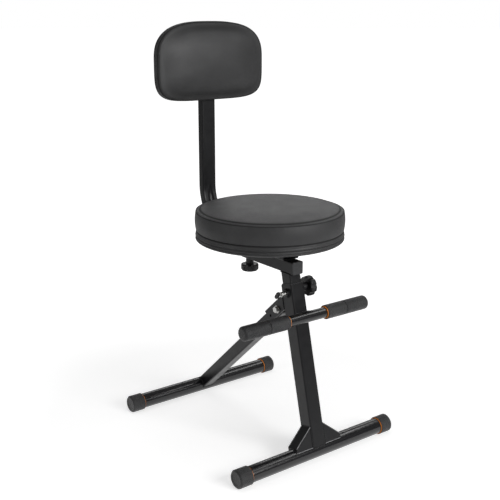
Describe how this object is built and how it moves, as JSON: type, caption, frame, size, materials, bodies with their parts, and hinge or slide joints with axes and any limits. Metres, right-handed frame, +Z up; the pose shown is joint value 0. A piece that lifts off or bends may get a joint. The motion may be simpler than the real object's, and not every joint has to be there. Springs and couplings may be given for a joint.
{
  "type": "guitar stool",
  "caption": "Folding stool for a guitarist: padded round seat on a height-adjustable stem, footrest bar, padded backrest on a bent post with a neck hanger behind it.",
  "frame": {"origin": "on the floor, under the centre of the bounding box", "axes": "+Z up, +Y from the front foot towards the backrest, +X to the sitter's left as they face -Y"},
  "size_m": [0.462, 0.5978, 0.9836],
  "materials": {
    "frame_satin": "satin black powder coat",
    "tube_gloss": "gloss black paint",
    "rubber_black": "matte, finely grained",
    "foam_sleeve": "matte foam rubber",
    "ring_orange": "smooth orange",
    "plastic_black": "moulded black",
    "zinc": "bright zinc plate",
    "vinyl": "soft black imitation leather",
    "board": "plain plywood"
  },
  "bodies": {
    "front_frame": {"front_leg_tube": "frame_satin", "leg_bush": "plastic_black", "front_foot_tube": "tube_gloss", "front_foot_cap_left": "rubber_black", "front_foot_cap_right": "rubber_black", "front_foot_ring_left": "ring_orange", "front_foot_ring_right": "ring_orange", "gusset_left": "frame_satin", "gusset_right": "frame_satin", "hinge_bracket": "frame_satin", "pivot_bolt": "zinc", "pivot_nut": "zinc", "pivot_washers": "zinc", "pivot_spacers": "plastic_black", "footrest_bar": "tube_gloss", "footrest_saddle": "frame_satin", "footrest_sleeve_left": "rubber_black", "footrest_sleeve_right": "rubber_black", "footrest_cap_left": "rubber_black", "footrest_cap_right": "rubber_black", "footrest_ring_left": "ring_orange", "footrest_ring_right": "ring_orange", "height_nut": "frame_satin", "lock_pin_boss": "frame_satin", "lock_pin_barrel": "zinc"},
    "rear_frame": {"rear_leg_tube": "frame_satin", "pivot_bush": "plastic_black", "rear_foot_tube": "tube_gloss", "rear_foot_cap_left": "rubber_black", "rear_foot_cap_right": "rubber_black", "rear_foot_ring_left": "ring_orange", "rear_foot_ring_right": "ring_orange"},
    "seat_post": {"stem_tube": "frame_satin", "seat_support_tube": "frame_satin", "support_plug_front": "plastic_black", "support_plug_rear": "plastic_black", "arm_sleeve": "frame_satin", "arm_clamp_nut": "frame_satin", "seat_plate": "frame_satin", "seat_screws": "zinc", "seat_board": "board", "seat_cushion": "vinyl"},
    "backrest": {"backrest_post": "frame_satin", "arm_plug": "plastic_black", "post_plug": "plastic_black", "pad_board": "plastic_black", "backrest_pad": "vinyl", "pad_bolts": "zinc", "hanger_plate": "frame_satin", "hanger_arm": "frame_satin", "hanger_yoke": "frame_satin", "yoke_sleeve_left": "foam_sleeve", "yoke_sleeve_right": "foam_sleeve"},
    "height_clamp": {"height_knob": "plastic_black", "height_screw": "zinc"},
    "arm_clamp": {"arm_knob": "plastic_black", "arm_screw": "zinc"},
    "pull_pin": {"lock_pin": "zinc", "lock_pin_grip": "plastic_black"}
  },
  "joints": [
    {"name": "rear_leg_fold", "type": "hinge", "parent": "front_frame", "child": "rear_frame", "pos_m": [0, -0.15197, 0.33505], "axis": [-1, 0, 0], "range_deg": [0, 60]},
    {"name": "seat_height", "type": "slide", "parent": "front_frame", "child": "seat_post", "axis": [0, 0.2351, 0.972], "range_m": [0, 0.15]},
    {"name": "backrest_depth", "type": "slide", "parent": "seat_post", "child": "backrest", "axis": [0, 1, 0], "range_m": [-0.03, 0.05]},
    {"name": "height_knob_turn", "type": "hinge", "parent": "front_frame", "child": "height_clamp", "pos_m": [0, -0.18595, 0.38977], "axis": [1, 0, 0], "range_deg": [0, 360]},
    {"name": "arm_knob_turn", "type": "hinge", "parent": "seat_post", "child": "arm_clamp", "pos_m": [0, -0.01995, 0.42901], "axis": [0, 0, -1], "range_deg": [0, 360]},
    {"name": "lock_pin_travel", "type": "slide", "parent": "front_frame", "child": "pull_pin", "axis": [1, 0, 0], "range_m": [0, 0.006]}
  ]
}
